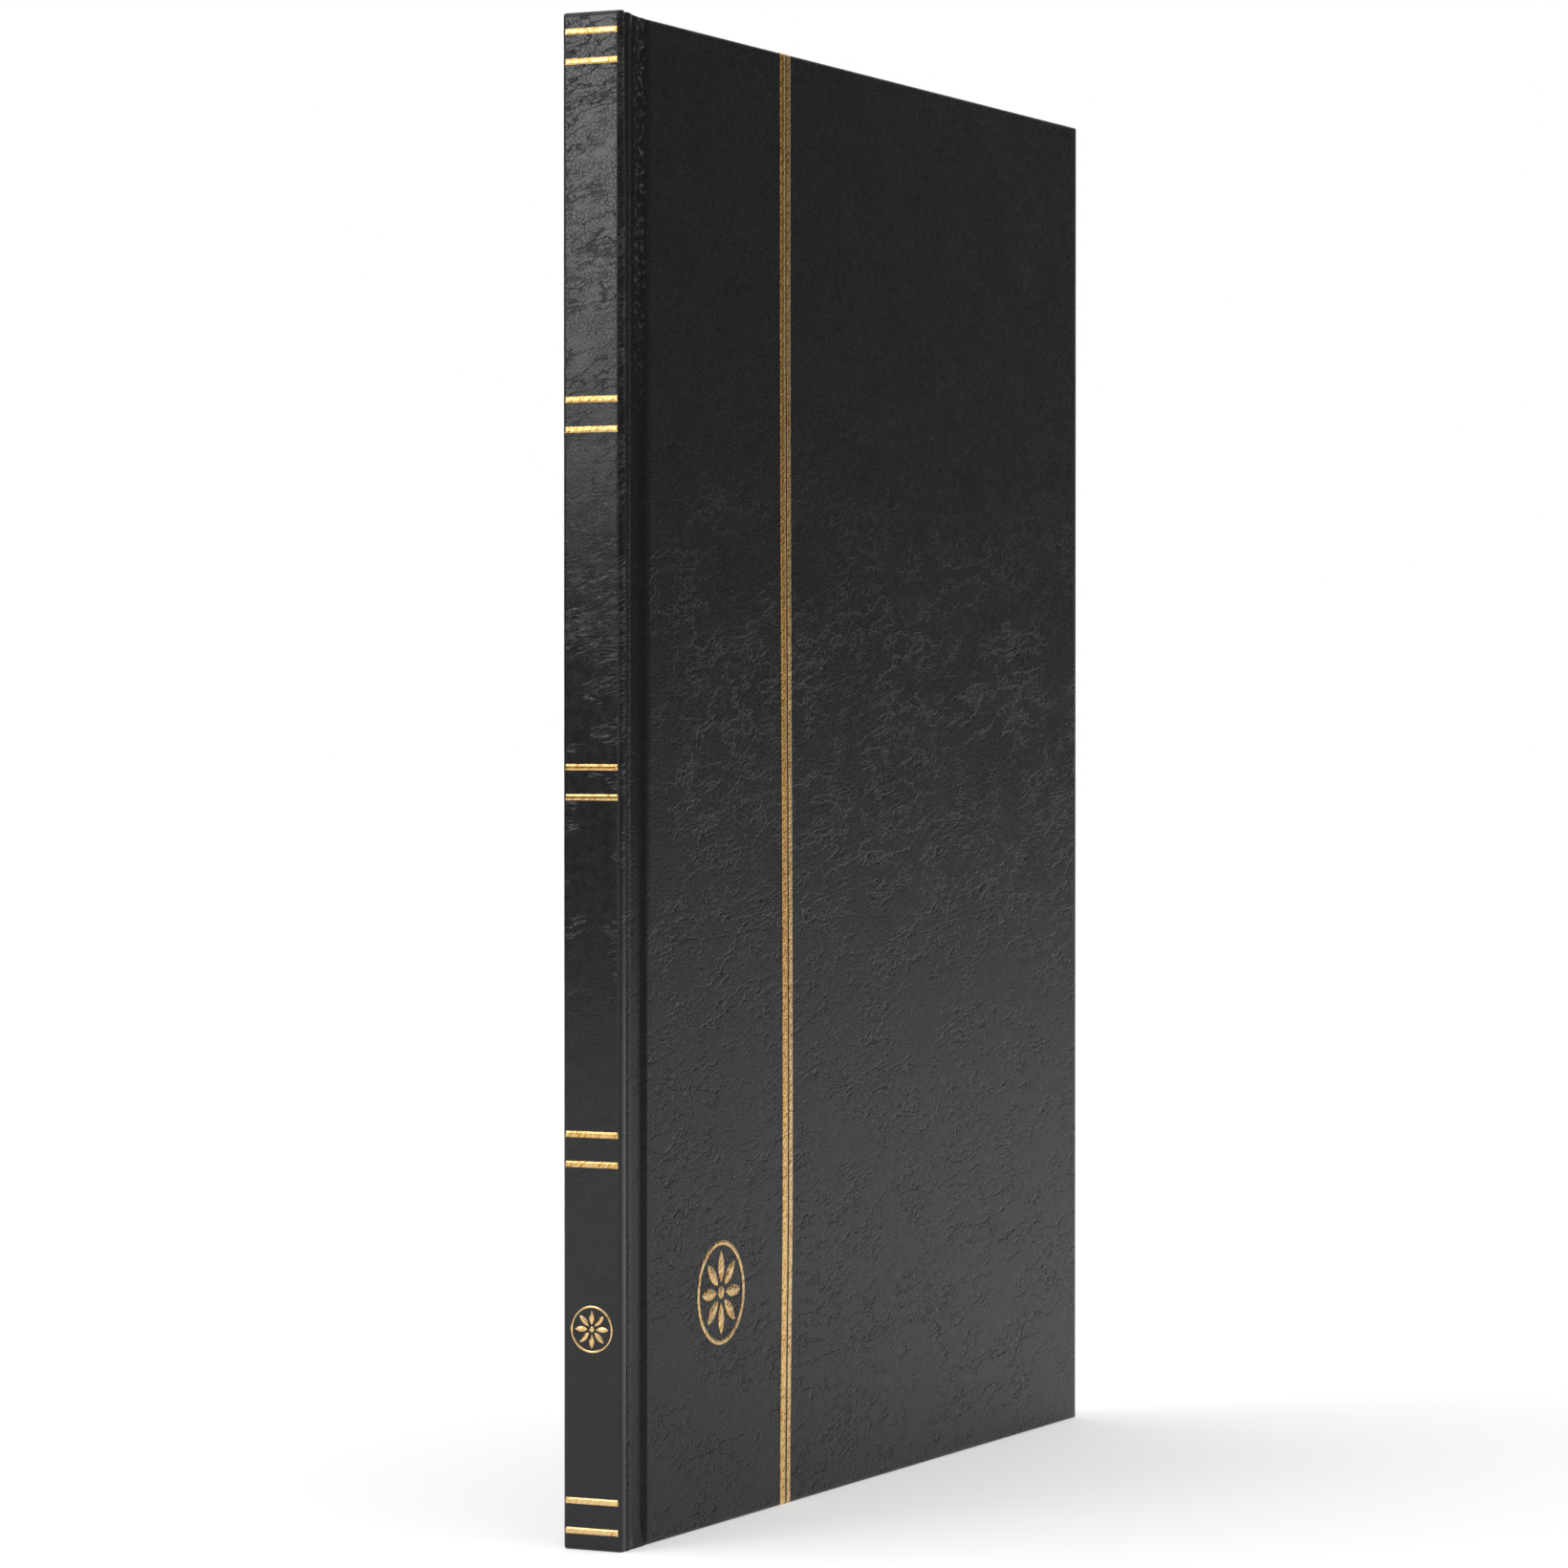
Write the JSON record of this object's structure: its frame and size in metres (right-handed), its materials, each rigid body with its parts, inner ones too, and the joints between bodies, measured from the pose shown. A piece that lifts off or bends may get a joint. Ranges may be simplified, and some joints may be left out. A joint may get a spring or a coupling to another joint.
{
  "type": "stamp stockbook",
  "caption": "Hardcover stockbook for stamps: black leatherette case with gold bands and rules, and linen-hinged card leaves with clear pocket strips between glassine interleaves.",
  "frame": {"origin": "middle of the closed album's foot, at the level of the tail edge it stands on", "axes": "+X from the spine to the fore edge, +Y from the front cover to the rear cover, +Z from tail to head"},
  "size_m": [0.23, 0.013, 0.305],
  "materials": {
    "leatherette": "satin fine grain",
    "gold_foil": "blocked metallic foil over grain",
    "greyboard": "matt pressed board",
    "endpaper": "matt black",
    "linen": "fine plain weave",
    "lining_paper": "matt kraft",
    "thread": "waxed twist",
    "page_card": "smooth matt",
    "strip_film": "clear gloss",
    "glassine": "translucent calendered"
  },
  "bodies": {
    "binding": {"spine_leather": "leatherette", "spine_board": "greyboard", "spine_lining": "lining_paper", "spine_super": "linen", "sewn_block": "linen", "sewing_thread": "thread", "head_band": "thread", "tail_band": "thread", "spine_foil_bands": "gold_foil", "spine_rosette": "gold_foil"},
    "front_cover": {"front_leather": "leatherette", "front_board": "greyboard", "front_infill": "greyboard", "front_pastedown": "endpaper", "front_joint_leather": "leatherette", "front_joint_lining": "endpaper", "front_foil_rules": "gold_foil", "front_rosette": "gold_foil"},
    "rear_cover": {"rear_leather": "leatherette", "rear_board": "greyboard", "rear_infill": "greyboard", "rear_pastedown": "endpaper", "rear_joint_leather": "leatherette", "rear_joint_lining": "endpaper"},
    "front_flyleaf": {"front_flyleaf": "endpaper"},
    "rear_flyleaf": {"rear_flyleaf": "endpaper"},
    "leaf_1": {"leaf_1_card": "page_card", "leaf_1_guard": "linen", "leaf_1_strips": "strip_film"},
    "leaf_2": {"leaf_2_card": "page_card", "leaf_2_guard": "linen", "leaf_2_strips": "strip_film"},
    "leaf_3": {"leaf_3_card": "page_card", "leaf_3_guard": "linen", "leaf_3_strips": "strip_film"},
    "leaf_4": {"leaf_4_card": "page_card", "leaf_4_guard": "linen", "leaf_4_strips": "strip_film"},
    "leaf_5": {"leaf_5_card": "page_card", "leaf_5_guard": "linen", "leaf_5_strips": "strip_film"},
    "leaf_6": {"leaf_6_card": "page_card", "leaf_6_guard": "linen", "leaf_6_strips": "strip_film"},
    "leaf_7": {"leaf_7_card": "page_card", "leaf_7_guard": "linen", "leaf_7_strips": "strip_film"},
    "leaf_8": {"leaf_8_card": "page_card", "leaf_8_guard": "linen", "leaf_8_strips": "strip_film"},
    "interleaf_1": {"interleaf_1": "glassine"},
    "interleaf_2": {"interleaf_2": "glassine"},
    "interleaf_3": {"interleaf_3": "glassine"},
    "interleaf_4": {"interleaf_4": "glassine"},
    "interleaf_5": {"interleaf_5": "glassine"},
    "interleaf_6": {"interleaf_6": "glassine"},
    "interleaf_7": {"interleaf_7": "glassine"}
  },
  "joints": [
    {"name": "front_cover_hinge", "type": "hinge", "parent": "binding", "child": "front_cover", "pos_m": [-0.1101, -0.00679, 0.1525], "axis": [0, 0, -1], "range_deg": [0, 180]},
    {"name": "rear_cover_hinge", "type": "hinge", "parent": "binding", "child": "rear_cover", "pos_m": [-0.1101, 0.00679, 0.1525], "axis": [0, 0, 1], "range_deg": [0, 180]},
    {"name": "front_flyleaf_fold", "type": "hinge", "parent": "binding", "child": "front_flyleaf", "pos_m": [-0.11035, -0.00329, 0.1525], "axis": [0, 0, -1], "range_deg": [0, 75.6]},
    {"name": "leaf_1_fold", "type": "hinge", "parent": "binding", "child": "leaf_1", "pos_m": [-0.11035, -0.00283, 0.1525], "axis": [0, 0, -1], "range_deg": [0, 68.4]},
    {"name": "leaf_2_fold", "type": "hinge", "parent": "binding", "child": "leaf_2", "pos_m": [-0.11035, -0.00202, 0.1525], "axis": [0, 0, -1], "range_deg": [0, 54]},
    {"name": "leaf_3_fold", "type": "hinge", "parent": "binding", "child": "leaf_3", "pos_m": [-0.11035, -0.00121, 0.1525], "axis": [0, 0, -1], "range_deg": [0, 37.8]},
    {"name": "leaf_4_fold", "type": "hinge", "parent": "binding", "child": "leaf_4", "pos_m": [-0.11035, -0.0004, 0.1525], "axis": [0, 0, -1], "range_deg": [0, 21.6]},
    {"name": "interleaf_1_fold", "type": "hinge", "parent": "binding", "child": "interleaf_1", "pos_m": [-0.11035, -0.00243, 0.1525], "axis": [0, 0, -1], "range_deg": [0, 61.2]},
    {"name": "interleaf_2_fold", "type": "hinge", "parent": "binding", "child": "interleaf_2", "pos_m": [-0.11035, -0.00162, 0.1525], "axis": [0, 0, -1], "range_deg": [0, 45.9]},
    {"name": "interleaf_3_fold", "type": "hinge", "parent": "binding", "child": "interleaf_3", "pos_m": [-0.11035, -0.00081, 0.1525], "axis": [0, 0, -1], "range_deg": [0, 29.7]},
    {"name": "interleaf_4_fold", "type": "hinge", "parent": "binding", "child": "interleaf_4", "pos_m": [-0.11035, 0, 0.1525], "axis": [0, 0, -1], "range_deg": [0, 7.2]},
    {"name": "rear_flyleaf_fold", "type": "hinge", "parent": "binding", "child": "rear_flyleaf", "pos_m": [-0.11035, 0.00329, 0.1525], "axis": [0, 0, 1], "range_deg": [0, 75.6]},
    {"name": "leaf_5_fold", "type": "hinge", "parent": "binding", "child": "leaf_5", "pos_m": [-0.11035, 0.0004, 0.1525], "axis": [0, 0, 1], "range_deg": [0, 21.6]},
    {"name": "leaf_6_fold", "type": "hinge", "parent": "binding", "child": "leaf_6", "pos_m": [-0.11035, 0.00121, 0.1525], "axis": [0, 0, 1], "range_deg": [0, 37.8]},
    {"name": "leaf_7_fold", "type": "hinge", "parent": "binding", "child": "leaf_7", "pos_m": [-0.11035, 0.00202, 0.1525], "axis": [0, 0, 1], "range_deg": [0, 54]},
    {"name": "leaf_8_fold", "type": "hinge", "parent": "binding", "child": "leaf_8", "pos_m": [-0.11035, 0.00283, 0.1525], "axis": [0, 0, 1], "range_deg": [0, 68.4]},
    {"name": "interleaf_5_fold", "type": "hinge", "parent": "binding", "child": "interleaf_5", "pos_m": [-0.11035, 0.00081, 0.1525], "axis": [0, 0, 1], "range_deg": [0, 29.7]},
    {"name": "interleaf_6_fold", "type": "hinge", "parent": "binding", "child": "interleaf_6", "pos_m": [-0.11035, 0.00162, 0.1525], "axis": [0, 0, 1], "range_deg": [0, 45.9]},
    {"name": "interleaf_7_fold", "type": "hinge", "parent": "binding", "child": "interleaf_7", "pos_m": [-0.11035, 0.00243, 0.1525], "axis": [0, 0, 1], "range_deg": [0, 61.2]}
  ],
  "couplings": [
    {"joint": "front_flyleaf_fold", "follows": "front_cover_hinge", "ratio": 0.42},
    {"joint": "leaf_1_fold", "follows": "front_cover_hinge", "ratio": 0.38},
    {"joint": "leaf_2_fold", "follows": "front_cover_hinge", "ratio": 0.3},
    {"joint": "leaf_3_fold", "follows": "front_cover_hinge", "ratio": 0.21},
    {"joint": "leaf_4_fold", "follows": "front_cover_hinge", "ratio": 0.12},
    {"joint": "interleaf_1_fold", "follows": "front_cover_hinge", "ratio": 0.34},
    {"joint": "interleaf_2_fold", "follows": "front_cover_hinge", "ratio": 0.255},
    {"joint": "interleaf_3_fold", "follows": "front_cover_hinge", "ratio": 0.165},
    {"joint": "interleaf_4_fold", "follows": "front_cover_hinge", "ratio": 0.04},
    {"joint": "rear_flyleaf_fold", "follows": "rear_cover_hinge", "ratio": 0.42},
    {"joint": "leaf_5_fold", "follows": "rear_cover_hinge", "ratio": 0.12},
    {"joint": "leaf_6_fold", "follows": "rear_cover_hinge", "ratio": 0.21},
    {"joint": "leaf_7_fold", "follows": "rear_cover_hinge", "ratio": 0.3},
    {"joint": "leaf_8_fold", "follows": "rear_cover_hinge", "ratio": 0.38},
    {"joint": "interleaf_5_fold", "follows": "rear_cover_hinge", "ratio": 0.165},
    {"joint": "interleaf_6_fold", "follows": "rear_cover_hinge", "ratio": 0.255},
    {"joint": "interleaf_7_fold", "follows": "rear_cover_hinge", "ratio": 0.34}
  ]
}
